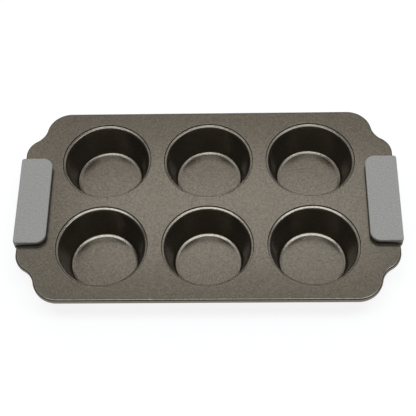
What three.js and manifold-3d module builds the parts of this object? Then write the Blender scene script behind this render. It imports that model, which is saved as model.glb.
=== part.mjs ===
// Muffin pan for six muffins: one pressed and coated steel sheet with a rolled edge, the wire inside
// that edge, and a silicone grip on the wing at each end.
// Millimetres, +Z up. The origin is on the table, under the middle of the pan. +X runs from the left
// grip to the right one, and +Y to the back.
import * as THREE from "three";
import { mergeVertices } from "three/addons/utils/BufferGeometryUtils.js";
import Module from "manifold-3d";

// Sheet and cups
const SHEET = 0.6;
const CUP_COLUMNS = 3;
const CUP_ROWS = 2;
const MOUTH_DIAMETER = 74; // where the shoulder leaves the flat deck
const COLUMN_WEB = 8; // deck left between two mouths in a row
const ROW_WEB = 5; // deck left between the two rows of mouths
const CUP_DEPTH = 27.5; // deck to cup floor, both on the upper face
const SHOULDER_RADIUS = 8; // of the upper face, where the deck dips towards the cup
const SHOULDER_TILT = THREE.MathUtils.degToRad(38); // how steep the dip is when it meets the lip
const LIP_RADIUS = 2; // of the upper face, where the dip turns down into the wall
const FLOOR_FILLET = 4.5; // of the upper face
const WALL_DRAFT = THREE.MathUtils.degToRad(7.4);

// Outline of the deck, measured over the rolled edge
const SIDE_MARGIN = 10.4; // mouth to long edge
const END_MARGIN = 14.1; // mouth to short edge, beside the wing
const CORNER_RADIUS = 19.7;
const WING_REACH = 15.1; // how far the wing stands out of the short edge
const WING_SETBACK = 40.9; // long edge to the straight part of the wing's end
const WING_CORNER_RADIUS = 15.9;
const NECK_RADIUS = 16.4; // hollow curve from the pan's corner to the wing's corner

// Rolled edge: the sheet turns down in a tight bend, drops straight and rolls in round the wire
const RIM_HEIGHT = 5.4; // deck to the underside of the roll
const RIM_BEND_RADIUS = 1.5; // of the upper face
const ROLL_RADIUS = 1.7; // of the outer face
const ROLL_TURN = THREE.MathUtils.degToRad(240);
const WIRE_CLEARANCE = 0.3;

// Grips
const GRIP_LENGTH = 78;
const GRIP_WIDTH = 25.1;
const GRIP_WALL = 1.6; // outside the rolled edge
const UPPER_FLAP = 4.6;
const LOWER_FLAP = 2.4;
const FLAP_LIFT = 0.6; // the upper flap stands this far off the deck
const GRIP_CLEARANCE = 0.3;
const GRIP_INNER_CORNER = 8;
const GRIP_OUTER_CORNER = 2;
const GRIP_EDGE_RADIUS = 1.1;
const GRIP_BEND_RADIUS = 5; // lower outer edge
const PLUG_DIAMETER = 8;
const PLUG_SPACING = 44;

// How finely round forms are cut
const CUP_SEGMENTS = 32;
const SHOULDER_STEPS = 3;
const LIP_STEPS = 3;
const FILLET_STEPS = 3;
const CORNER_STEPS = 6;
const NECK_STEPS = 3;
const WING_STEPS = 5;
const RIM_BEND_STEPS = 3;
const ROLL_STEPS = 7;
const WIRE_SEGMENTS = 8;
const PLUG_SEGMENTS = 16;
const GRIP_CORNER_STEPS = 4;
const GRIP_EDGE_STEPS = 3;
const GRIP_BEND_STEPS = 4;
const CHANNEL_CORNER_STEPS = 4;

// Heights
const DECK_TOP = SHEET + CUP_DEPTH;
const DECK_UNDER = DECK_TOP - SHEET;
const RIM_BOTTOM = DECK_TOP - RIM_HEIGHT;

// Plan sizes, from the cups outwards
const MOUTH_RADIUS = MOUTH_DIAMETER / 2;
const COLUMN_PITCH = MOUTH_DIAMETER + COLUMN_WEB;
const ROW_PITCH = MOUTH_DIAMETER + ROW_WEB;
const HALF_BODY = ((CUP_COLUMNS - 1) * COLUMN_PITCH) / 2 + MOUTH_RADIUS + END_MARGIN;
const HALF_WIDTH = ((CUP_ROWS - 1) * ROW_PITCH) / 2 + MOUTH_RADIUS + SIDE_MARGIN;
const WING_END = HALF_BODY + WING_REACH;

// Faces of the grip at the +X end
const GRIP_OUTER = WING_END + GRIP_CLEARANCE + GRIP_WALL;
const GRIP_INNER = GRIP_OUTER - GRIP_WIDTH;
const CHANNEL_TOP = DECK_TOP + FLAP_LIFT;
const CHANNEL_FLOOR = RIM_BOTTOM - GRIP_CLEARANCE;
const GRIP_TOP = CHANNEL_TOP + UPPER_FLAP;
const GRIP_BOTTOM = CHANNEL_FLOOR - LOWER_FLAP;
const PLUG_X = (WING_END - 2 * ROLL_RADIUS + GRIP_INNER) / 2;
const PLUG_HOLE_RADIUS = PLUG_DIAMETER / 2 + GRIP_CLEARANCE;

const QUARTER_TURN = Math.PI / 2;
const HALF_TURN = Math.PI;
const FULL_TURN = 2 * Math.PI;

const wasm = await Module();
wasm.setup();

// Points along an arc, clockwise where the end angle is the smaller one.
function arc(centre, radius, start, end, steps) {
  const curve = new THREE.ArcCurve(centre.x, centre.y, radius, start, end, end < start);
  return curve.getPoints(steps);
}

function circle(centre, radius, segments) {
  return arc(centre, radius, 0, FULL_TURN, segments).slice(0, segments);
}

function atHeight(points, z) {
  return points.map((point) => new THREE.Vector3(point.x, point.y, z));
}

// Faces between each ring of points and the next. Counter-clockwise rings that rise look outwards.
function loft(rings) {
  const faces = [];
  for (let i = 0; i + 1 < rings.length; i++) {
    const [ring, above] = [rings[i], rings[i + 1]];
    ring.forEach((point, k) => {
      const next = (k + 1) % ring.length;
      faces.push(point, ring[next], above[next], point, above[next], above[k]);
    });
  }
  return faces;
}

// Flat faces inside an outline and round its holes, looking up.
function flat(outline, holes, z) {
  const reversedHoles = holes.map((hole) => [...hole].reverse());
  const triangles = THREE.ShapeUtils.triangulateShape(outline, reversedHoles);
  const points = atHeight([outline, ...reversedHoles].flat(), z);
  return triangles.flat().map((corner) => points[corner]);
}

// The same faces looking the other way.
function turnedOver(faces) {
  return [...faces].reverse();
}

// One closed geometry from faces that share their corners.
function sew(faces) {
  const geometry = mergeVertices(new THREE.BufferGeometry().setFromPoints(faces));
  geometry.computeVertexNormals();
  return geometry;
}

function toSolid(geometry) {
  const bare = geometry.clone();
  bare.deleteAttribute("normal");
  bare.deleteAttribute("uv");
  const welded = mergeVertices(bare);
  const mesh = new wasm.Mesh({
    numProp: 3,
    vertProperties: new Float32Array(welded.getAttribute("position").array),
    triVerts: new Uint32Array(welded.getIndex().array),
  });
  return new wasm.Manifold(mesh);
}

function toGeometry(solid) {
  const mesh = solid.getMesh();
  const geometry = new THREE.BufferGeometry();
  geometry.setAttribute("position", new THREE.BufferAttribute(mesh.vertProperties, mesh.numProp));
  geometry.setIndex(new THREE.BufferAttribute(mesh.triVerts, 1));
  geometry.computeVertexNormals();
  return geometry;
}

// Centres of the cup mouths, and of the plug holes in both wings.
function cupCentres() {
  const centres = [];
  for (let row = 0; row < CUP_ROWS; row++) {
    for (let column = 0; column < CUP_COLUMNS; column++) {
      const x = (column - (CUP_COLUMNS - 1) / 2) * COLUMN_PITCH;
      const y = (row - (CUP_ROWS - 1) / 2) * ROW_PITCH;
      centres.push(new THREE.Vector2(x, y));
    }
  }
  return centres;
}

function plugHoleCentres() {
  const sides = [-1, 1];
  return sides.flatMap((end) => sides.map((side) => plugCentre(end, side)));
}

function plugCentre(end, side) {
  return new THREE.Vector2(end * PLUG_X, (side * PLUG_SPACING) / 2);
}

// The pan's outline, drawn in by a distance from its outermost edge. One quarter is three arcs that
// run into each other: the wing's corner, the hollow neck and the pan's corner.
function outline(inset) {
  const wing = new THREE.Vector2(WING_END - WING_CORNER_RADIUS, HALF_WIDTH - WING_SETBACK);
  const corner = new THREE.Vector2(HALF_BODY - CORNER_RADIUS, HALF_WIDTH - CORNER_RADIUS);
  const neck = touchingCentre(wing, WING_CORNER_RADIUS + NECK_RADIUS, corner, CORNER_RADIUS + NECK_RADIUS);
  const fromWing = Math.atan2(neck.y - wing.y, neck.x - wing.x);
  const fromCorner = Math.atan2(neck.y - corner.y, neck.x - corner.x);
  const quarter = [
    ...arc(wing, WING_CORNER_RADIUS - inset, 0, fromWing, WING_STEPS),
    ...arc(neck, NECK_RADIUS + inset, fromWing + HALF_TURN, fromCorner + HALF_TURN, NECK_STEPS).slice(1, -1),
    ...arc(corner, CORNER_RADIUS - inset, fromCorner, QUARTER_TURN, CORNER_STEPS),
  ];
  const mirrored = (alongX, alongY) => quarter.map((p) => new THREE.Vector2(p.x * alongX, p.y * alongY));
  return [
    ...quarter,
    ...mirrored(-1, 1).reverse(),
    ...mirrored(-1, -1),
    ...mirrored(1, -1).reverse(),
  ];
}

// The point at the given distances from two centres, on the right of the way from the first one to
// the second.
function touchingCentre(first, firstDistance, second, secondDistance) {
  const way = second.clone().sub(first);
  const span = way.length();
  const along = (firstDistance ** 2 - secondDistance ** 2 + span ** 2) / (2 * span);
  const aside = Math.sqrt(firstDistance ** 2 - along ** 2);
  const right = new THREE.Vector2(way.y, -way.x).normalize();
  return first.clone().addScaledVector(way.normalize(), along).addScaledVector(right, aside);
}

// Half section of a cup from the deck to the floor, as radius and height, for the sheet's face that
// lies the given depth under its upper one. The wide shoulder arc runs into the tight lip arc, the lip
// into the straight wall, and the wall into the fillet round the floor.
function cupSection(depth) {
  const dipEnd = QUARTER_TURN + SHOULDER_TILT;
  const towardsLip = new THREE.Vector2(Math.cos(dipEnd), Math.sin(dipEnd));
  const shoulder = new THREE.Vector2(MOUTH_RADIUS, DECK_TOP - SHOULDER_RADIUS);
  const lip = shoulder.clone().addScaledVector(towardsLip, SHOULDER_RADIUS - LIP_RADIUS);
  const wallTop = lip.x - LIP_RADIUS * Math.cos(WALL_DRAFT);
  const wallTopZ = lip.y + LIP_RADIUS * Math.sin(WALL_DRAFT);
  const wallFootZ = SHEET + FLOOR_FILLET * (1 - Math.sin(WALL_DRAFT));
  const wallFoot = wallTop - (wallTopZ - wallFootZ) * Math.tan(WALL_DRAFT);
  const fillet = new THREE.Vector2(wallFoot - FLOOR_FILLET * Math.cos(WALL_DRAFT), SHEET + FLOOR_FILLET);
  return [
    ...arc(shoulder, SHOULDER_RADIUS - depth, QUARTER_TURN, dipEnd, SHOULDER_STEPS),
    ...arc(lip, LIP_RADIUS - depth, dipEnd, HALF_TURN - WALL_DRAFT, LIP_STEPS).slice(1),
    ...arc(fillet, FLOOR_FILLET + depth, -WALL_DRAFT, -QUARTER_TURN, FILLET_STEPS),
  ];
}

// A face of one cup, from its mouth down to its floor, looking up and inwards.
function cupFace(centre, depth) {
  const section = cupSection(depth);
  const rings = section.map(({ x, y }) => atHeight(circle(centre, x, CUP_SEGMENTS), y));
  const floor = section.at(-1);
  return [...loft(rings), ...flat(circle(centre, floor.x, CUP_SEGMENTS), [], floor.y)];
}

// The middle of the roll, and of the wire in it, as inset and height.
function rollCentre() {
  return new THREE.Vector2(ROLL_RADIUS, RIM_BOTTOM + ROLL_RADIUS);
}

// One face of the rolled edge, as inset and height, from the deck over the bend, down the straight drop
// and round the roll, for the sheet's face that lies the given depth under its outer one.
function rimFace(depth) {
  const bend = new THREE.Vector2(RIM_BEND_RADIUS, DECK_TOP - RIM_BEND_RADIUS);
  return [
    ...arc(bend, RIM_BEND_RADIUS - depth, QUARTER_TURN, HALF_TURN, RIM_BEND_STEPS),
    ...arc(rollCentre(), ROLL_RADIUS - depth, HALF_TURN, HALF_TURN + ROLL_TURN, ROLL_STEPS),
  ];
}

// Section of the rolled edge, from the deck's underside along the inner face, over the sheet's cut edge
// and back along the outer face to the deck's upper face.
function rimSection() {
  return [...rimFace(SHEET), ...rimFace(0).reverse()];
}

function makePanBody() {
  const deckEdge = outline(RIM_BEND_RADIUS);
  const mouths = cupCentres().map((centre) => circle(centre, MOUTH_RADIUS, CUP_SEGMENTS));
  const plugHoles = plugHoleCentres().map((centre) => circle(centre, PLUG_HOLE_RADIUS, PLUG_SEGMENTS));
  const openings = [...mouths, ...plugHoles];
  return sew([
    ...flat(deckEdge, openings, DECK_TOP),
    ...turnedOver(flat(deckEdge, openings, DECK_UNDER)),
    ...loft(rimSection().map(({ x, y }) => atHeight(outline(x), y))),
    ...plugHoles.flatMap((hole) => loft([atHeight(hole, DECK_TOP), atHeight(hole, DECK_UNDER)])),
    ...cupCentres().flatMap((centre) => cupFace(centre, 0)),
    ...cupCentres().flatMap((centre) => turnedOver(cupFace(centre, SHEET))),
  ]);
}

function makeRimWire() {
  const radius = ROLL_RADIUS - SHEET - WIRE_CLEARANCE;
  const section = arc(rollCentre(), radius, FULL_TURN, 0, WIRE_SEGMENTS);
  return sew(loft(section.map(({ x, y }) => atHeight(outline(x), y))));
}

// How far a rounded edge has drawn back at a distance from the face that it rounds into.
function drawnBack(radius, distance) {
  const rest = Math.max(radius - distance, 0);
  return radius - Math.sqrt(radius ** 2 - rest ** 2);
}

// Plan of the grip at one height. The inner corners are wide and the outer ones tight.
function gripPlan(z) {
  const edge = drawnBack(GRIP_EDGE_RADIUS, Math.min(z - GRIP_BOTTOM, GRIP_TOP - z));
  const upperEdge = drawnBack(GRIP_EDGE_RADIUS, GRIP_TOP - z);
  const lowerBend = drawnBack(GRIP_BEND_RADIUS, z - GRIP_BOTTOM);
  const inner = GRIP_INNER + edge;
  const outer = GRIP_OUTER - Math.max(upperEdge, lowerBend);
  const halfLength = GRIP_LENGTH / 2 - edge;
  const innerRadius = GRIP_INNER_CORNER - edge;
  const outerRadius = GRIP_OUTER_CORNER - edge;
  const cornerAt = (x, y, radius, start) => {
    const centre = new THREE.Vector2(x, y);
    return arc(centre, radius, start, start + QUARTER_TURN, GRIP_CORNER_STEPS);
  };
  return [
    ...cornerAt(outer - outerRadius, halfLength - outerRadius, outerRadius, 0),
    ...cornerAt(inner + innerRadius, halfLength - innerRadius, innerRadius, QUARTER_TURN),
    ...cornerAt(inner + innerRadius, innerRadius - halfLength, innerRadius, HALF_TURN),
    ...cornerAt(outer - outerRadius, outerRadius - halfLength, outerRadius, HALF_TURN + QUARTER_TURN),
  ];
}

// Heights of the rings that draw the grip's rounded lower and upper edges.
function gripHeights() {
  const heights = [];
  for (let i = 0; i <= GRIP_BEND_STEPS; i++) {
    const turn = (QUARTER_TURN * i) / GRIP_BEND_STEPS;
    heights.push(GRIP_BOTTOM + GRIP_BEND_RADIUS * (1 - Math.cos(turn)));
  }
  for (let i = 0; i <= GRIP_EDGE_STEPS; i++) {
    const turn = (QUARTER_TURN * i) / GRIP_EDGE_STEPS;
    heights.push(GRIP_TOP - GRIP_EDGE_RADIUS * (1 - Math.sin(turn)));
  }
  return heights;
}

// The slot that takes the wing and its rolled edge, open at both ends and towards the cups.
function gripChannel() {
  const lowerRadius = ROLL_RADIUS + GRIP_CLEARANCE;
  const upperRadius = RIM_BEND_RADIUS + GRIP_CLEARANCE;
  const end = WING_END + GRIP_CLEARANCE;
  const lower = new THREE.Vector2(end - lowerRadius, CHANNEL_FLOOR + lowerRadius);
  const upper = new THREE.Vector2(end - upperRadius, CHANNEL_TOP - upperRadius);
  const mouth = GRIP_INNER - GRIP_WIDTH;
  const section = new THREE.Shape([
    new THREE.Vector2(mouth, CHANNEL_FLOOR),
    ...arc(lower, lowerRadius, -QUARTER_TURN, 0, CHANNEL_CORNER_STEPS),
    ...arc(upper, upperRadius, 0, QUARTER_TURN, CHANNEL_CORNER_STEPS),
    new THREE.Vector2(mouth, CHANNEL_TOP),
  ]);
  const length = 2 * GRIP_LENGTH;
  const channel = new THREE.ExtrudeGeometry(section, { depth: length, bevelEnabled: false });
  return channel.rotateX(QUARTER_TURN).translate(0, length / 2, 0);
}

// A plug runs through the wing and is sunk halfway into each flap, where it is one with the grip.
function gripPlug(side) {
  const foot = CHANNEL_FLOOR - LOWER_FLAP / 2;
  const head = CHANNEL_TOP + UPPER_FLAP / 2;
  const plug = new THREE.CylinderGeometry(PLUG_DIAMETER / 2, PLUG_DIAMETER / 2, head - foot, PLUG_SEGMENTS);
  const centre = plugCentre(1, side);
  return plug.rotateX(QUARTER_TURN).translate(centre.x, centre.y, (head + foot) / 2);
}

function makeGrip() {
  const rings = gripHeights().map((z) => atHeight(gripPlan(z), z));
  const blank = sew([
    ...turnedOver(flat(gripPlan(GRIP_BOTTOM), [], GRIP_BOTTOM)),
    ...loft(rings),
    ...flat(gripPlan(GRIP_TOP), [], GRIP_TOP),
  ]);
  const sleeve = toSolid(blank).subtract(toSolid(gripChannel()));
  return toGeometry(sleeve.add(toSolid(gripPlug(-1))).add(toSolid(gripPlug(1))));
}

const coating = new THREE.MeshStandardMaterial({ color: 0x6c645b, roughness: 0.42, metalness: 0.55 });
const wireSteel = new THREE.MeshStandardMaterial({ color: 0xa9abad, roughness: 0.4, metalness: 1 });
const leftSilicone = new THREE.MeshStandardMaterial({ color: 0x91918d, roughness: 0.8, metalness: 0 });
const rightSilicone = leftSilicone.clone();

const pan = new THREE.Group();

const panBody = new THREE.Mesh(makePanBody(), coating);
panBody.name = "pan_body";
pan.add(panBody);

const rimWire = new THREE.Mesh(makeRimWire(), wireSteel);
rimWire.name = "rim_wire";
pan.add(rimWire);

const rightGrip = new THREE.Mesh(makeGrip(), rightSilicone);
rightGrip.name = "grip_right";
pan.add(rightGrip);

// The left grip is the same moulding, turned round.
const leftGrip = new THREE.Mesh(makeGrip(), leftSilicone);
leftGrip.name = "grip_left";
leftGrip.rotation.z = HALF_TURN;
pan.add(leftGrip);

export default pan;
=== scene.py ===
# %% [markdown]
# # A muffin pan for six muffins
# The real pan is one sheet of steel with a bronze-grey non-stick coating. A press draws six round cups
# and two end wings out of the flat blank, and the edge is then rolled round a wire. A grey silicone
# grip sits on each wing. The solids come from a CAD model, and this lesson dresses them: finer
# curves, real finishes, soft studio light and a camera.

# %% Load the solids
import math

import bmesh
import bpy
from mathutils import Matrix, Vector


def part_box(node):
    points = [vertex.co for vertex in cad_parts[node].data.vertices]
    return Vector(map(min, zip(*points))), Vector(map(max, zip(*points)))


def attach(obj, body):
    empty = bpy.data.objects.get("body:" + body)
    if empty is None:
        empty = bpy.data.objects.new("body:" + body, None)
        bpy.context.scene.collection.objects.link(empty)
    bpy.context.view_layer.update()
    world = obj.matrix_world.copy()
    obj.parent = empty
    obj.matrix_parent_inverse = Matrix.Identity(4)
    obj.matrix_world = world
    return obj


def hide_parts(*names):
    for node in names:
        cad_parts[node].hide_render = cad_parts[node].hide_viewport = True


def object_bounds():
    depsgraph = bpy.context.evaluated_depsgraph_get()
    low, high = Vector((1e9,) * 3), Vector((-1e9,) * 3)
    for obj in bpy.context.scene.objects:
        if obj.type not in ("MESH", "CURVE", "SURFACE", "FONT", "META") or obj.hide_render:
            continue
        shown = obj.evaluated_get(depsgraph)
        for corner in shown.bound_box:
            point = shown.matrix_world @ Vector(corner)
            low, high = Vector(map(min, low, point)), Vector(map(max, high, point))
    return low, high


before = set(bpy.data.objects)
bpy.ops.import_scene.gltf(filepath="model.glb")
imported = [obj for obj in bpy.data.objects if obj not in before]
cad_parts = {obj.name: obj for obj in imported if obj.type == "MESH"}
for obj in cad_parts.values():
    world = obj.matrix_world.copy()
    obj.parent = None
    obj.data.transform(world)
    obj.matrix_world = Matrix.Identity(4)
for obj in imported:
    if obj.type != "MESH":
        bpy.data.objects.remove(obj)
cad_low, cad_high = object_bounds()
scene = bpy.context.scene
print("Solids:", ", ".join(sorted(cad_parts)))

# %% [markdown]
# ## Sizes
# The height of the deck, the long edge and the end of the wing are read off the solids, so the dressed
# pan can't drift away from them. Sizes that a box doesn't give, such as radii, are written here in
# millimetres, as a drawing would give them, and turned into metres once.

# %% Driving sizes
MM = 0.001
QUARTER_TURN = math.pi / 2
pan_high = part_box("pan_body")[1]
DECK_TOP = pan_high.z
HALF_WIDTH = pan_high.y
WING_END = pan_high.x

# The outline in plan
PAN_CORNER = 19.7 * MM
WING_CORNER = 15.9 * MM
NECK_RADIUS = 16.4 * MM
WING_REACH = 15.1 * MM
WING_SETBACK = 40.9 * MM

# The cups, from the mouth down to the floor
SHEET = 0.6 * MM
COLUMN_PITCH = 82.0 * MM
ROW_PITCH = 79.0 * MM
MOUTH_RADIUS = 35.9 * MM
STEP_RADIUS = 0.1 * MM
RISER_TILT = math.radians(72.0)
RISER_LENGTH = 1.2 * MM
LEDGE_TILT = math.radians(16.0)
LEDGE_LENGTH = 1.1 * MM
LIP_RADIUS = 2.0 * MM
WALL_DRAFT = math.radians(15.6)
FOOT_FILLET = 1.2 * MM
FOOT_TILT = math.radians(17.0)
FOOT_LENGTH = 1.6 * MM
FOOT_EASE = 1.0 * MM
CUP_DEPTH = DECK_TOP - SHEET

# The edge, turned down and rolled
RIM_HEIGHT = 5.4 * MM
RIM_BEND = 1.5 * MM
ROLL_RADIUS = 1.7 * MM
ROLL_TURN = math.radians(240)

print(f"Deck at {DECK_TOP / MM:.1f} mm, {2 * WING_END / MM:.1f} x {2 * HALF_WIDTH / MM:.1f} mm")

# %% [markdown]
# ## Camera
# The pan was seen from in front and well above, with the camera rolled a little. Azimuth, elevation,
# roll, distance and focal length were fitted to the outline and the cup circles. A constraint could
# aim the camera, but it would undo the roll. A camera looks along its own -Z, so its matrix can be
# written straight down instead: the columns are right, up and back.

# %% Place the camera
IMAGE_SIZE = 416
FOCAL_PIXELS = 1101.1
SENSOR_WIDTH = 36.0
CAMERA_AZIMUTH = math.radians(3.293)
CAMERA_ELEVATION = math.radians(58.464)
CAMERA_ROLL = math.radians(-3.255)
CAMERA_DISTANCE = 864.77 * MM
AIM_X = 0.133 * MM
AIM_Y = -5.908 * MM


def towards(azimuth, elevation):
    """The direction seen from the pan at an azimuth from the front and an elevation."""
    level = math.cos(elevation)
    return Vector((math.sin(azimuth) * level, -math.cos(azimuth) * level, math.sin(elevation)))


def add_object(name, data):
    obj = bpy.data.objects.new(name, data)
    scene.collection.objects.link(obj)
    return obj


back = towards(CAMERA_AZIMUTH, CAMERA_ELEVATION)
level_right = Vector((0, 0, 1)).cross(back).normalized()
level_up = back.cross(level_right)
right = level_right * math.cos(CAMERA_ROLL) + level_up * math.sin(CAMERA_ROLL)
up = level_up * math.cos(CAMERA_ROLL) - level_right * math.sin(CAMERA_ROLL)

camera_data = bpy.data.cameras.new("camera")
camera_data.sensor_width = SENSOR_WIDTH
camera_data.lens = FOCAL_PIXELS / IMAGE_SIZE * SENSOR_WIDTH
camera = add_object("camera", camera_data)
camera_place = Vector((AIM_X, AIM_Y, DECK_TOP)) + back * CAMERA_DISTANCE
camera_turn = Matrix((right, up, back)).transposed().to_4x4()
camera.matrix_world = Matrix.Translation(camera_place) @ camera_turn
scene.camera = camera
print(f"Camera with a {camera_data.lens:.1f} mm lens, {CAMERA_DISTANCE:.2f} m away")

# %% [markdown]
# ## A shader group for grain
# Coating, silicone and drawn steel all have a fine grain and a broader mottle. A picture of each could
# be wrapped round the piece, but it would show seams and blur close up. Noise on object coordinates
# has neither fault. One node group makes both kinds, and every material places it with its own sizes.
# The group only puts out values that change over the surface.

# %% Build the grain group
GRAIN_DETAIL = 2.0
GRAIN_ROUGHNESS = 0.6
PATCH_DETAIL = 1.0


def add_node(tree, kind, inputs=(), **settings):
    """Adds a node, sets its properties, then links or sets its inputs by name or by number."""
    node = tree.nodes.new(kind)
    for name, value in settings.items():
        setattr(node, name, value)
    for name, value in dict(inputs).items():
        if isinstance(value, bpy.types.NodeSocket):
            tree.links.new(value, node.inputs[name])
        else:
            node.inputs[name].default_value = value
    return node


def build_grain_group():
    group = bpy.data.node_groups.new("surface_grain", "ShaderNodeTree")
    sockets = group.interface
    for name in ("Grains per metre", "Patches per metre"):
        sockets.new_socket(name, in_out="INPUT", socket_type="NodeSocketFloat")
    for name in ("Grain", "Patch"):
        sockets.new_socket(name, in_out="OUTPUT", socket_type="NodeSocketFloat")
    given = add_node(group, "NodeGroupInput").outputs
    place = add_node(group, "ShaderNodeTexCoord").outputs["Object"]
    grain = add_node(
        group,
        "ShaderNodeTexNoise",
        {
            "Vector": place,
            "Scale": given["Grains per metre"],
            "Detail": GRAIN_DETAIL,
            "Roughness": GRAIN_ROUGHNESS,
        },
    )
    patch = add_node(
        group,
        "ShaderNodeTexNoise",
        {"Vector": place, "Scale": given["Patches per metre"], "Detail": PATCH_DETAIL},
    )
    add_node(
        group,
        "NodeGroupOutput",
        {"Grain": grain.outputs["Fac"], "Patch": patch.outputs["Fac"]},
    )
    return group


grain_group = build_grain_group()
print("Group", grain_group.name, "puts out", [s.name for s in grain_group.interface.items_tree])

# %% [markdown]
# ## Making a finish
# All three finishes are built alike, so one helper makes them. It starts from a Principled shader and
# lets the grain change the colour, the roughness and a shallow bump. Setting up each material by hand
# would work too, but then the same dozen lines would stand here three times. What is the same all over
# a piece, such as how metallic it is, goes straight on the shader's socket.

# %% Helpers for the finishes
NOISE_LOW = 0.3
NOISE_HIGH = 0.7
MIX_FACTOR = 0
MIX_DARK = 6
MIX_LIGHT = 7
MIX_RESULT = 2


def spread(tree, noise, low, high):
    """Maps a noise value, which mostly lies between NOISE_LOW and NOISE_HIGH, to low and high."""
    limits = {"From Min": NOISE_LOW, "From Max": NOISE_HIGH, "To Min": low, "To Max": high}
    return add_node(tree, "ShaderNodeMapRange", {"Value": noise, **limits}).outputs["Result"]


def blend_colours(tree, factor, dark, light):
    """Mixes two colours. The Mix node uses a name more than once, so its sockets go by number."""
    sockets = {MIX_FACTOR: factor, MIX_DARK: (*dark, 1.0), MIX_LIGHT: (*light, 1.0)}
    return add_node(tree, "ShaderNodeMix", sockets, data_type="RGBA").outputs[MIX_RESULT]


def make_finish(name, grains, patches, colours, roughness, bump_depth, noises=("Grain", "Patch")):
    """A material whose colour follows the first noise and whose roughness follows the second."""
    material = bpy.data.materials.new(name)
    material.use_nodes = True
    tree = material.node_tree
    tree.nodes.clear()
    sizes = {"Grains per metre": grains, "Patches per metre": patches}
    noise = add_node(tree, "ShaderNodeGroup", sizes, node_tree=grain_group).outputs
    colour_noise, roughness_noise = noises
    factor = spread(tree, noise[colour_noise], 0.0, 1.0)
    relief = {"Height": noise["Grain"], "Strength": 1.0, "Distance": bump_depth}
    shader = add_node(
        tree,
        "ShaderNodeBsdfPrincipled",
        {
            "Base Color": blend_colours(tree, factor, *colours),
            "Roughness": spread(tree, noise[roughness_noise], *roughness),
            "Normal": add_node(tree, "ShaderNodeBump", relief).outputs["Normal"],
        },
    )
    add_node(tree, "ShaderNodeOutputMaterial", {"Surface": shader.outputs["BSDF"]})
    return material, shader.inputs


print("Finishes spread the noise between", NOISE_LOW, "and", NOISE_HIGH)

# %% [markdown]
# ## The coating
# The coating is a paint full of fine metal flakes under a smooth clear layer. It could be a plain dark
# paint, but then the cups would look grey all over. As a dull bronze metal with a clear coat it goes
# nearly black where it faces dark and pale where it mirrors a light, as the real one does. Flakes in
# paint mirror less at a glancing angle than bare metal, so that reflection is dimmed and the steep cup
# walls stay dark.

# %% Bronze-grey coating
COATING_DARK = (0.122, 0.105, 0.080)
COATING_LIGHT = (0.198, 0.171, 0.130)
COATING_GLANCE = (0.4, 0.4, 0.4)

coating, coating_shader = make_finish(
    "bronze_coating",
    grains=700,
    patches=60,
    colours=(COATING_DARK, COATING_LIGHT),
    roughness=(0.25, 0.27),
    bump_depth=0.02 * MM,
)
coating_shader["Metallic"].default_value = 0.9
coating_shader["Specular Tint"].default_value = (*COATING_GLANCE, 1.0)
coating_shader["Coat Weight"].default_value = 0.6
coating_shader["Coat Roughness"].default_value = 0.12
print("Finish", coating.name)

# %% [markdown]
# ## The silicone
# The grips are moulded in grey silicone, which is matt and looks slightly mottled close up. A sheen
# layer could make it look dry, but at this size a high roughness and a weak highlight are enough.

# %% Grey silicone
SILICONE_DARK = (0.290, 0.277, 0.256)
SILICONE_LIGHT = (0.430, 0.412, 0.382)

silicone, silicone_shader = make_finish(
    "grey_silicone",
    grains=900,
    patches=45,
    colours=(SILICONE_DARK, SILICONE_LIGHT),
    roughness=(0.62, 0.74),
    bump_depth=0.03 * MM,
)
silicone_shader["Specular IOR Level"].default_value = 0.35
print("Finish", silicone.name)

# %% [markdown]
# ## The wire's steel
# The wire is plain drawn steel: bare metal, a little uneven in colour and finely scratched. Here the
# broad patches change the colour and the fine grain changes the roughness, the other way round from
# the coating, because bare steel has no flakes in it.

# %% Drawn steel
STEEL_DARK = (0.40, 0.405, 0.41)
STEEL_LIGHT = (0.52, 0.525, 0.53)

steel, steel_shader = make_finish(
    "drawn_steel",
    grains=2500,
    patches=120,
    colours=(STEEL_DARK, STEEL_LIGHT),
    roughness=(0.32, 0.46),
    bump_depth=0.01 * MM,
    noises=("Patch", "Grain"),
)
steel_shader["Metallic"].default_value = 1.0
print("Finish", steel.name)

# %% [markdown]
# ## The pressed sheet
# Deck, cups and rolled edge are one sheet, so they are made as one skin that gets its thickness at the
# end. The skin follows three drawn curves: the deck's edge in plan, the section of a cup and the
# section of the rolled edge. A subdivided cage could do it too, but its radii would only be near the
# real ones. A section swept along a path keeps every radius true.
#
# The edge comes first. The blank is trimmed to rounded corners, hollow necks and a wing at each end.
# Bezier handles could draw that by eye. Arcs that touch each other give the same soft line from a few
# radii, and a quarter of it is enough, because the pan is the same left and right, front and back.

# %% Outline of the deck
WING_STEPS = 18
NECK_STEPS = 12
CORNER_STEPS = 22
EDGE_STEPS = 20


def arc_points(centre, radius, start, end, steps):
    angles = [start + (end - start) * i / steps for i in range(steps + 1)]
    return [centre + radius * Vector((math.cos(angle), math.sin(angle))) for angle in angles]


def touching_centre(first, first_distance, second, second_distance):
    """The point at the given distances from two centres, on the right of the way between them."""
    way = second - first
    span = way.length
    along = (first_distance**2 - second_distance**2 + span**2) / (2 * span)
    aside = math.sqrt(first_distance**2 - along**2)
    way.normalize()
    return first + along * way + aside * Vector((way.y, -way.x))


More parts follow.
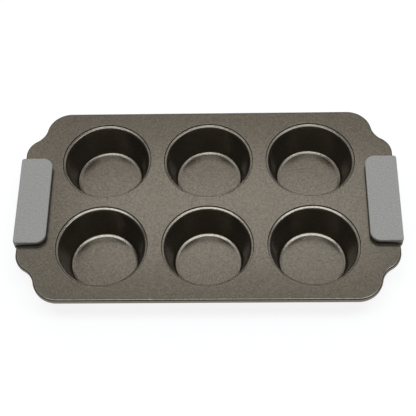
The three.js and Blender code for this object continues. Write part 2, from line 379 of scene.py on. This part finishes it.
def quarter_edge(inset):
    """A quarter of the outline: the wing's corner, the hollow neck and the pan's corner."""
    wing = Vector((WING_END - WING_CORNER, HALF_WIDTH - WING_SETBACK))
    corner = Vector((WING_END - WING_REACH - PAN_CORNER, HALF_WIDTH - PAN_CORNER))
    neck = touching_centre(wing, WING_CORNER + NECK_RADIUS, corner, PAN_CORNER + NECK_RADIUS)
    from_wing = math.atan2(neck.y - wing.y, neck.x - wing.x)
    from_corner = math.atan2(neck.y - corner.y, neck.x - corner.x)
    hollow = arc_points(neck, NECK_RADIUS + inset, from_wing + math.pi, from_corner + math.pi, NECK_STEPS)
    return [
        *arc_points(wing, WING_CORNER - inset, 0, from_wing, WING_STEPS),
        *hollow[1:-1],
        *arc_points(corner, PAN_CORNER - inset, from_corner, QUARTER_TURN, CORNER_STEPS),
    ]


def straight_points(start, end):
    return [start.lerp(end, i / EDGE_STEPS) for i in range(1, EDGE_STEPS)]


def deck_edge(inset):
    """The whole outline, counter-clockwise, with points along its straight sides too."""
    quarter = quarter_edge(inset)
    sides = [
        quarter,
        [Vector((-p.x, p.y)) for p in reversed(quarter)],
        [Vector((-p.x, -p.y)) for p in quarter],
        [Vector((p.x, -p.y)) for p in reversed(quarter)],
    ]
    points = []
    for side, following in zip(sides, sides[1:] + sides[:1]):
        points += side + straight_points(side[-1], following[0])
    return points


print("A quarter of the outline has", len(quarter_edge(0)), "points")

# %% [markdown]
# ## The section of a cup
# The cup has small forms that catch the light. The press leaves a fine step round the mouth, which
# shows as a dark line. Inside it a narrow ledge slopes to a tight lip, and both shine as a bright
# ring. The wall tapers down to a sloping ring round the flat floor, which draws a second bright line.
# The points could be listed by hand, but a walk is easier to change: bends and straight runs follow
# each other, each starting where the last one ended and in the direction it had. A short land where a
# bend meets the deck, the wall or the floor keeps its smooth shading off that face.

# %% Section of a cup
LAND = 0.4 * MM
STEP_STEPS = 4
LIP_STEPS = 12
FOOT_STEPS = 6


def heading(tilt):
    """The way inwards along a surface that falls at the tilt, as outward distance and depth."""
    return Vector((-math.cos(tilt), math.sin(tilt)))


def upward(tilt):
    """The direction square to such a surface, on its upper side."""
    return Vector((-math.sin(tilt), -math.cos(tilt)))


def add_bend(points, radius, start, end, steps):
    """Adds an arc between two tilts, bulging up where the tilt grows and hollow where it falls."""
    side = radius if end > start else -radius
    centre = points[-1] - side * upward(start)
    tilts = [start + (end - start) * i / steps for i in range(1, steps + 1)]
    points += [centre + side * upward(tilt) for tilt in tilts]


def add_run(points, tilt, *lengths):
    for length in lengths:
        points.append(points[-1] + length * heading(tilt))


def cup_section():
    """From the mouth's land down to the middle of the floor, as outward distance and depth."""
    wall_tilt = QUARTER_TURN - WALL_DRAFT
    points = [Vector((0, 0)), Vector((-LAND, 0))]
    add_bend(points, STEP_RADIUS, 0, RISER_TILT, STEP_STEPS)
    add_run(points, RISER_TILT, RISER_LENGTH)
    add_bend(points, STEP_RADIUS, RISER_TILT, LEDGE_TILT, STEP_STEPS)
    add_run(points, LEDGE_TILT, LEDGE_LENGTH)
    add_bend(points, LIP_RADIUS, LEDGE_TILT, wall_tilt, LIP_STEPS)
    foot_drop = FOOT_FILLET * (math.cos(FOOT_TILT) - math.cos(wall_tilt))
    foot_drop += FOOT_LENGTH * math.sin(FOOT_TILT) + FOOT_EASE * (1 - math.cos(FOOT_TILT))
    wall_drop = CUP_DEPTH - points[-1].y - foot_drop
    add_run(points, wall_tilt, LAND, wall_drop / math.sin(wall_tilt) - 2 * LAND, LAND)
    add_bend(points, FOOT_FILLET, wall_tilt, FOOT_TILT, FOOT_STEPS)
    add_run(points, FOOT_TILT, FOOT_LENGTH)
    add_bend(points, FOOT_EASE, FOOT_TILT, 0, STEP_STEPS)
    print(f"Cup floor {2 * (MOUTH_RADIUS + LAND + points[-1].x) / MM:.1f} mm across")
    add_run(points, 0, LAND)
    points.append(Vector((-MOUTH_RADIUS - LAND, CUP_DEPTH)))
    return points


cup_points = cup_section()
print("The cup's section has", len(cup_points), "points")

# %% [markdown]
# ## The section of the edge
# On the real pan the edge is turned down, then rolled inwards round the wire, so that no hand meets a
# cut edge. Its section is a quarter bend, a short drop and most of a small circle. A bevelled curve
# would give a plain round bead. The drawn section keeps the flat drop between the bend and the roll.

# %% Section of the edge, and the three curves
RIM_BEND_STEPS = 8
ROLL_STEPS = 18


def rim_section():
    """From the deck's land over the bend and round the roll, as outward distance and depth."""
    bend = Vector((LAND, RIM_BEND))
    roll = Vector((LAND + RIM_BEND - ROLL_RADIUS, RIM_HEIGHT - ROLL_RADIUS))
    return [
        Vector((0, 0)),
        *arc_points(bend, RIM_BEND, -QUARTER_TURN, 0, RIM_BEND_STEPS),
        *arc_points(roll, ROLL_RADIUS, 0, ROLL_TURN, ROLL_STEPS),
    ]


def draw_curve(name, points, closed):
    curve = bpy.data.curves.new(name, "CURVE")
    curve.dimensions = "3D"
    spline = curve.splines.new("POLY")
    spline.points.add(len(points) - 1)
    for spot, point in zip(spline.points, points):
        spot.co = (point.x, point.y, 0.0, 1.0)
    spline.use_cyclic_u = closed
    return add_object(name, curve)


edge_curve = draw_curve("deck_edge", deck_edge(RIM_BEND + LAND), True)
cup_curve = draw_curve("cup_section", cup_points, False)
rim_curve = draw_curve("rim_section", rim_section(), False)
print("Deck edge with", len(edge_curve.data.splines[0].points), "points")

# %% [markdown]
# ## Sweeping the skin
# A Geometry Nodes tree does the pressing. Curve to Mesh turns the cup's section round a circle and
# sweeps the rim along the deck's edge, a grid of points sets out the cups, and Fill Curve makes the
# deck with the mouths and the plug holes left open. Mesh code could do the same for this one pan. The
# tree takes the sizes as inputs, so it would also press a pan with more cups.

# %% Helpers for the pressing tree


def add_inputs(tree, wanted):
    for name, kind in wanted:
        tree.interface.new_socket(name, in_out="INPUT", socket_type="NodeSocket" + kind)
    tree.interface.new_socket("Geometry", in_out="OUTPUT", socket_type="NodeSocketGeometry")
    return add_node(tree, "NodeGroupInput").outputs


def on_points(tree, points, shape):
    placed = add_node(tree, "GeometryNodeInstanceOnPoints", {"Points": points, "Instance": shape})
    whole = add_node(tree, "GeometryNodeRealizeInstances", {"Geometry": placed.outputs["Instances"]})
    return whole.outputs["Geometry"]


def join(tree, *parts):
    node = add_node(tree, "GeometryNodeJoinGeometry")
    for part in parts:
        tree.links.new(part, node.inputs["Geometry"])
    return node.outputs["Geometry"]


PRESSING_INPUTS = (
    ("Geometry", "Geometry"),
    ("Cup Section", "Object"),
    ("Rim Section", "Object"),
    ("Columns", "Int"),
    ("Rows", "Int"),
    ("Cup Span X", "Float"),
    ("Cup Span Y", "Float"),
    ("Mouth Radius", "Float"),
    ("Cup Segments", "Int"),
    ("Plug Span X", "Float"),
    ("Plug Span Y", "Float"),
    ("Plug Hole Radius", "Float"),
    ("Deck Height", "Vector"),
    ("Finish", "Material"),
)
print("The pressing tree takes", len(PRESSING_INPUTS), "inputs")

# %% Build the pressing tree
PLUG_COLUMNS = 2
PLUG_ROWS = 2
PLUG_HOLE_SEGMENTS = 32
WELD_DISTANCE = 0.01 * MM


def build_pressing_tree():
    tree = bpy.data.node_groups.new("press_pan", "GeometryNodeTree")
    given = add_inputs(tree, PRESSING_INPUTS)

    def grid(size_x, size_y, columns, rows):
        sizes = {"Size X": size_x, "Size Y": size_y, "Vertices X": columns, "Vertices Y": rows}
        return add_node(tree, "GeometryNodeMeshGrid", sizes).outputs["Mesh"]

    def circle(radius, resolution):
        sizes = {"Radius": radius, "Resolution": resolution}
        return add_node(tree, "GeometryNodeCurvePrimitiveCircle", sizes).outputs["Curve"]

    def section(name):
        return add_node(tree, "GeometryNodeObjectInfo", {"Object": given[name]}).outputs["Geometry"]

    def sweep(path, profile):
        curves = {"Curve": path, "Profile Curve": profile}
        return add_node(tree, "GeometryNodeCurveToMesh", curves).outputs["Mesh"]

    cup_spots = grid(given["Cup Span X"], given["Cup Span Y"], given["Columns"], given["Rows"])
    mouth = circle(given["Mouth Radius"], given["Cup Segments"])
    cup = add_node(tree, "GeometryNodeFlipFaces", {"Mesh": sweep(mouth, section("Cup Section"))})
    cups = on_points(tree, cup_spots, cup.outputs["Mesh"])
    mouths = on_points(tree, cup_spots, mouth)
    plug_spots = grid(given["Plug Span X"], given["Plug Span Y"], PLUG_COLUMNS, PLUG_ROWS)
    plug_holes = on_points(tree, plug_spots, circle(given["Plug Hole Radius"], PLUG_HOLE_SEGMENTS))
    outlines = join(tree, given["Geometry"], mouths, plug_holes)
    deck = add_node(tree, "GeometryNodeFillCurve", {"Curve": outlines}).outputs["Mesh"]
    rim = sweep(given["Geometry"], section("Rim Section"))
    sheet = add_node(
        tree,
        "GeometryNodeMergeByDistance",
        {"Geometry": join(tree, deck, rim, cups), "Distance": WELD_DISTANCE},
    )
    raised = add_node(
        tree,
        "GeometryNodeTransform",
        {"Geometry": sheet.outputs["Geometry"], "Translation": given["Deck Height"]},
    )
    smooth = add_node(tree, "GeometryNodeSetShadeSmooth", {"Geometry": raised.outputs["Geometry"]})
    whole = add_node(tree, "GeometryNodeRealizeInstances", {"Geometry": smooth.outputs["Geometry"]})
    finish = {"Geometry": whole.outputs["Geometry"], "Material": given["Finish"]}
    coated = add_node(tree, "GeometryNodeSetMaterial", finish)
    add_node(tree, "NodeGroupOutput", {"Geometry": coated.outputs["Geometry"]})
    return tree


pressing_tree = build_pressing_tree()
print("Tree", pressing_tree.name, "has", len(pressing_tree.nodes), "nodes")

# %% [markdown]
# ## From skin to sheet
# The tree's result becomes a plain mesh, and Solidify gives it the sheet's 0.6 mm, downwards, so that
# the upper face keeps the drawn radii. A second sweep could make the lower face, but Solidify also
# closes the cut edges between the two. The helper curves have then done their work.

# %% Press the pan
COLUMNS = 3
ROWS = 2
CUP_SEGMENTS = 96
PLUG_HOLE_RADIUS = 4.3 * MM
PLUG_SPACING = 44.0 * MM
PLUG_X = 134.9 * MM


def set_inputs(modifier, values):
    """Sets a tree's inputs by their identifiers, which don't change when a name does."""
    for item in modifier.node_group.interface.items_tree:
        if item.in_out == "INPUT" and item.name in values:
            modifier[item.identifier] = values[item.name]


def evaluated_mesh(obj):
    obj.update_tag()
    bpy.context.view_layer.update()
    depsgraph = bpy.context.evaluated_depsgraph_get()
    return bpy.data.meshes.new_from_object(obj.evaluated_get(depsgraph))


press = edge_curve.modifiers.new("press", "NODES")
press.node_group = pressing_tree
set_inputs(
    press,
    {
        "Cup Section": cup_curve,
        "Rim Section": rim_curve,
        "Columns": COLUMNS,
        "Rows": ROWS,
        "Cup Span X": (COLUMNS - 1) * COLUMN_PITCH,
        "Cup Span Y": (ROWS - 1) * ROW_PITCH,
        "Mouth Radius": MOUTH_RADIUS + LAND,
        "Cup Segments": CUP_SEGMENTS,
        "Plug Span X": 2 * PLUG_X,
        "Plug Span Y": PLUG_SPACING,
        "Plug Hole Radius": PLUG_HOLE_RADIUS,
        "Deck Height": (0.0, 0.0, DECK_TOP),
        "Finish": coating,
    },
)
pan_sheet = add_object("pan_sheet", evaluated_mesh(edge_curve))
edge_curve.modifiers.remove(press)
for helper in (edge_curve, cup_curve, rim_curve):
    bpy.data.objects.remove(helper)
print("Skin with", len(pan_sheet.data.polygons), "faces")

# %% Thicken the sheet
SHARP_ANGLE = math.radians(50)


def report(obj):
    mesh = bmesh.new()
    mesh.from_mesh(obj.data)
    triangles = sum(len(face.verts) - 2 for face in mesh.faces)
    open_edges = sum(1 for edge in mesh.edges if not edge.is_manifold)
    volume = mesh.calc_volume(signed=True) / MM**3
    mesh.free()
    print(f"{obj.name}: {triangles} triangles, {open_edges} open edges, {volume:.0f} mm3")


thicken = pan_sheet.modifiers.new("sheet", "SOLIDIFY")
thicken.thickness = SHEET
thicken.offset = -1.0
thicken.use_even_offset = True
thick_mesh = evaluated_mesh(pan_sheet)
thick_mesh.set_sharp_from_angle(angle=SHARP_ANGLE)
pan_sheet.modifiers.remove(thicken)
pan_sheet.data = thick_mesh
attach(pan_sheet, "root")
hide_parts("pan_body")
report(pan_sheet)

# %% [markdown]
# ## The silicone grips
# Each grip is a U-shaped moulding that hugs the wing: a thick flap on top, a wall round the rolled edge
# and a thinner flap underneath. It could be a block with a slot cut out, but then its lips would be
# sharp. Here it is lofted from rings stacked from the bottom to the top. A ring is a rounded rectangle
# in plan, and its inner side follows the U, so every lip gets its own radius. The upper flap is crisp
# on top and well rounded underneath, which leaves a dark line between it and the deck.

# %% Sizes of the grips
GRIP_LENGTH = 78.0 * MM
GRIP_WALL = 1.6 * MM
GRIP_CLEARANCE = 0.3 * MM
UPPER_FLAP = 4.6 * MM
LOWER_FLAP = 2.4 * MM
GRIP_INNER_CORNER = 8.0 * MM
GRIP_OUTER_CORNER = 2.0 * MM
TOP_EDGE = 0.6 * MM
UNDER_EDGE = 2.4 * MM
LOWER_EDGE = 1.1 * MM
LIP_EDGE = 0.7 * MM
OUTER_BEND = 5.0 * MM
LOWER_SLOT_CORNER = ROLL_RADIUS + GRIP_CLEARANCE
UPPER_SLOT_CORNER = RIM_BEND + GRIP_CLEARANCE
SLOT_END_CORNER = 0.4 * MM

grip_low, grip_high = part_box("grip_right")
GRIP_HALF = GRIP_LENGTH / 2
SLOT_END = grip_high.x - GRIP_WALL
SLOT_TOP = grip_high.z - UPPER_FLAP
SLOT_FLOOR = grip_low.z + LOWER_FLAP
print(f"Slot {(SLOT_TOP - SLOT_FLOOR) / MM:.1f} mm high")

# %% Rings of a grip
ROUND_STEPS = 6
RING_CORNER_STEPS = 12
ROUND_ANGLES = [QUARTER_TURN * i / ROUND_STEPS for i in range(ROUND_STEPS + 1)]


def drawn_back(radius, distance):
    """How far a rounded edge has drawn back at a distance from the face that it rounds into."""
    rest = max(radius - distance, 0.0)
    return radius - math.sqrt(radius**2 - rest**2)


def flap_rings(bottom, top, lower_edge, upper_edge):
    """Height and edge setback up the inner lip of a flap, with a land on each flat face."""
    rings = [(bottom, lower_edge + LAND)]
    for angle in ROUND_ANGLES:
        rings.append((bottom + lower_edge * (1 - math.cos(angle)), lower_edge * (1 - math.sin(angle))))
    for angle in ROUND_ANGLES:
        rings.append((top - upper_edge * (1 - math.sin(angle)), upper_edge * (1 - math.cos(angle))))
    rings.append((top, upper_edge + LAND))
    return rings


def slot_rings():
    """Height and inner face of the wall between the flaps, with the slot's rounded corners."""
    lower = []
    upper = []
    for angle in ROUND_ANGLES:
        rise = 1 - math.cos(angle)
        setback = 1 - math.sin(angle)
        lower.append((SLOT_FLOOR + LOWER_SLOT_CORNER * rise, SLOT_END - LOWER_SLOT_CORNER * setback))
        upper.append((SLOT_TOP - UPPER_SLOT_CORNER * rise, SLOT_END - UPPER_SLOT_CORNER * setback))
    return [*lower, *reversed(upper)]


def ring_points(z, inner, inner_corner, inner_half, setback=0.0):
    """One ring in plan. Its outer corners follow the outer face at that height."""
    upper = drawn_back(TOP_EDGE, grip_high.z - z)
    lower = drawn_back(OUTER_BEND, z - grip_low.z)
    land = {grip_low.z: setback - LOWER_EDGE, grip_high.z: setback - TOP_EDGE}.get(z, 0.0)
    outer = grip_high.x - max(upper, lower) - land
    outer_edge = max(upper, drawn_back(LOWER_EDGE, z - grip_low.z))
    outer_half = GRIP_HALF - outer_edge - land
    outer_corner = GRIP_OUTER_CORNER - outer_edge
    outer_centre = Vector((outer - outer_corner, outer_half - outer_corner))
    reach = max(inner + inner_corner - outer_centre.x, 0.0)
    half = arc_points(outer_centre, outer_corner, 0, math.acos(reach / outer_corner), RING_CORNER_STEPS)
    inner_centre = Vector((inner + inner_corner, min(inner_half, half[-1].y) - inner_corner))
    half += arc_points(inner_centre, inner_corner, QUARTER_TURN, math.pi, RING_CORNER_STEPS)
    half += [Vector((p.x, -p.y)) for p in reversed(half)]
    return [Vector((p.x, p.y, z)) for p in half]


def flap_ring(z, setback):
    """A ring through a flap, whose inner lip is drawn back by the setback."""
    corner = GRIP_INNER_CORNER - setback
    return ring_points(z, grip_low.x + setback, corner, GRIP_HALF - setback, setback)


def grip_rings():
    """All the rings from the underside of the lower flap to the top."""
    lower_flap = flap_rings(grip_low.z, SLOT_FLOOR, LOWER_EDGE, LIP_EDGE)
    upper_flap = flap_rings(SLOT_TOP, grip_high.z, UNDER_EDGE, TOP_EDGE)
    rings = [flap_ring(z, setback) for z, setback in lower_flap]
    rings += [ring_points(z, inner, SLOT_END_CORNER, GRIP_HALF) for z, inner in slot_rings()]
    rings += [flap_ring(z, setback) for z, setback in upper_flap]
    return rings


print("A grip has", len(grip_rings()), "rings")

# %% Loft the grips
RING_WELD = 0.001 * MM


def make_grip(name, turn):
    """Lofts the rings of the right grip and turns them round the pan's middle."""
    mesh = bmesh.new()
    spin = Matrix.Rotation(turn, 4, "Z")
    rings = [[mesh.verts.new(spin @ point) for point in ring] for ring in grip_rings()]
    for ring, above in zip(rings, rings[1:]):
        for i, corner in enumerate(ring):
            follower = (i + 1) % len(ring)
            mesh.faces.new((corner, ring[follower], above[follower], above[i]))
    mesh.faces.new(list(reversed(rings[0])))
    mesh.faces.new(rings[-1])
    bmesh.ops.remove_doubles(mesh, verts=mesh.verts, dist=RING_WELD)
    bmesh.ops.recalc_face_normals(mesh, faces=mesh.faces)
    for face in mesh.faces:
        face.smooth = True
    data = bpy.data.meshes.new(name)
    mesh.to_mesh(data)
    mesh.free()
    data.materials.append(silicone)
    return add_object(name, data)


for name, node, turn in (("right_sleeve", "grip_right", 0.0), ("left_sleeve", "grip_left", math.pi)):
    sleeve = make_grip(name, turn)
    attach(sleeve, "root")
    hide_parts(node)
    report(sleeve)

# %% [markdown]
# ## The wire in the rolled edge
# The wire stiffens the edge, and shows only as a sliver where the roll ends, under the deck. It could
# be swept again with more segments, but nobody would see them. Its solid already has the right shape,
# so it stays and only gets its finish.

# %% Finish the wire
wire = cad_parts["rim_wire"]
wire.data.materials.clear()
wire.data.materials.append(steel)
print("Wire finished in", steel.name)

# %% [markdown]
# ## The floor
# The pan stands on a wide white floor that runs out of the picture on all sides. Strong lamps could
# burn a grey floor out to white, but they would burn out the pan too. Here the floor's own material
# is mostly plain white to the camera and in reflections, and a share of lit paint keeps a soft shadow.

# %% Floor
FLOOR_SIZE = 40.0
FLOOR_GAP = 0.2 * MM
FLOOR_SHARE = 0.25
FLOOR_GLOW = 1.15
FLOOR_PAINT = (0.8, 0.8, 0.8)


def make_floor():
    half = FLOOR_SIZE / 2
    corners = [(-half, -half), (half, -half), (half, half), (-half, half)]
    data = bpy.data.meshes.new("floor")
    data.from_pydata([(x, y, cad_low.z - FLOOR_GAP) for x, y in corners], [], [(0, 1, 2, 3)])
    return add_object("floor", data)


def paint_floor():
    """Mostly plain white to the camera and to reflections, with a share of lit paint for the shadow."""
    material = bpy.data.materials.new("white_floor")
    material.cycles.emission_sampling = "NONE"
    material.use_nodes = True
    tree = material.node_tree
    tree.nodes.clear()
    path = add_node(tree, "ShaderNodeLightPath").outputs
    seen = path["Is Camera Ray"]
    for ray in ("Is Glossy Ray", "Is Transmission Ray"):
        either = add_node(tree, "ShaderNodeMath", {0: seen, 1: path[ray]}, operation="MAXIMUM")
        seen = either.outputs["Value"]
    paint = add_node(tree, "ShaderNodeBsdfDiffuse", {"Color": (*FLOOR_PAINT, 1.0)}).outputs["BSDF"]
    white = add_node(tree, "ShaderNodeEmission", {"Strength": FLOOR_GLOW}).outputs["Emission"]
    bright = add_node(tree, "ShaderNodeMixShader", {"Fac": 1 - FLOOR_SHARE, 1: paint, 2: white})
    both = add_node(tree, "ShaderNodeMixShader", {"Fac": seen, 1: paint, 2: bright.outputs["Shader"]})
    add_node(tree, "ShaderNodeOutputMaterial", {"Surface": both.outputs["Shader"]})
    return material


floor = make_floor()
floor.data.materials.append(paint_floor())
print("Floor", FLOOR_SIZE, "m across")

# %% [markdown]
# ## Studio light
# The coating shows what it mirrors, so the lights are large soft boxes rather than points. A wide box
# overhead draws the bright rings on the lips, and two smaller ones carry them round the sides. The deck
# and the cup floors mirror a dim panel behind the pan, with a brighter band across the middle. Two side
# boxes light the ledges, a low strip behind catches the back edge, and a strip in front catches the
# front edge. An environment picture could do all this, but boxes can be moved one by one.

# %% Lights
NEUTRAL = (1.0, 1.0, 1.0)
DAYLIGHT = (0.88, 0.94, 1.0)
OVERHEAD_SHIFT = 0.15

# Name, azimuth and elevation in degrees, distance, width and height in metres, watts, colour
SOFTBOXES = (
    ("overhead", 0.0, 84.0, 1.3, 1.7, 0.4, 10.8, DAYLIGHT),
    ("top_left", 251.0, 61.0, 1.3, 0.5, 0.35, 1.0, DAYLIGHT),
    ("top_right", 109.0, 61.0, 1.3, 0.5, 0.35, 1.1, DAYLIGHT),
    ("front_strip", 0.0, 50.0, 1.3, 2.0, 0.18, 0.8, NEUTRAL),
    ("back_panel", 180.0, 50.0, 1.36, 2.0, 0.95, 2.2, NEUTRAL),
    ("back_band", 180.0, 59.0, 1.3, 0.6, 0.22, 0.55, NEUTRAL),
    ("back_left", 224.0, 44.0, 1.3, 0.5, 0.5, 0.55, NEUTRAL),
    ("back_right", 136.0, 44.0, 1.3, 0.5, 0.5, 0.5, NEUTRAL),
    ("back_low", 180.0, 18.0, 1.3, 1.3, 0.18, 2.4, NEUTRAL),
)


def add_softbox(name, azimuth, elevation, distance, width, height, watts, colour):
    """A rectangle of light that faces the middle of the deck."""
    data = bpy.data.lights.new(name, "AREA")
    data.shape = "RECTANGLE"
    data.size = width
    data.size_y = height
    data.energy = watts
    data.color = colour
    box = add_object(name, data)
    away = towards(math.radians(azimuth), math.radians(elevation))
    box.location = Vector((0, 0, DECK_TOP)) + away * distance
    box.rotation_mode = "QUATERNION"
    box.rotation_quaternion = away.to_track_quat("Z", "Y")
    return box


boxes = {row[0]: add_softbox(*row) for row in SOFTBOXES}
boxes["overhead"].location.x += OVERHEAD_SHIFT
print("Lights:", ", ".join(boxes))

# %% [markdown]
# ## The room
# A studio is never quite dark, so a faint even glow from all round fills the deepest shadows. Another
# big lamp could do that, but it would be mirrored in the coating. Standard view keeps the colours as
# they are written.

# %% World and view
WORLD_LEVEL = 0.08

world = bpy.data.worlds.new("studio")
world.use_nodes = True
room = world.node_tree.nodes["Background"].inputs
room["Color"].default_value = (*NEUTRAL, 1.0)
room["Strength"].default_value = WORLD_LEVEL
scene.world = world
scene.view_settings.view_transform = "Standard"
print("World at", WORLD_LEVEL)

# %% [markdown]
# ## The box of the solids
# The dressed pan has to stay inside the box of the solids, so that box is printed.

# %% Print the box of the solids
print("CAD box", [round(v / MM, 2) for v in cad_high - cad_low])
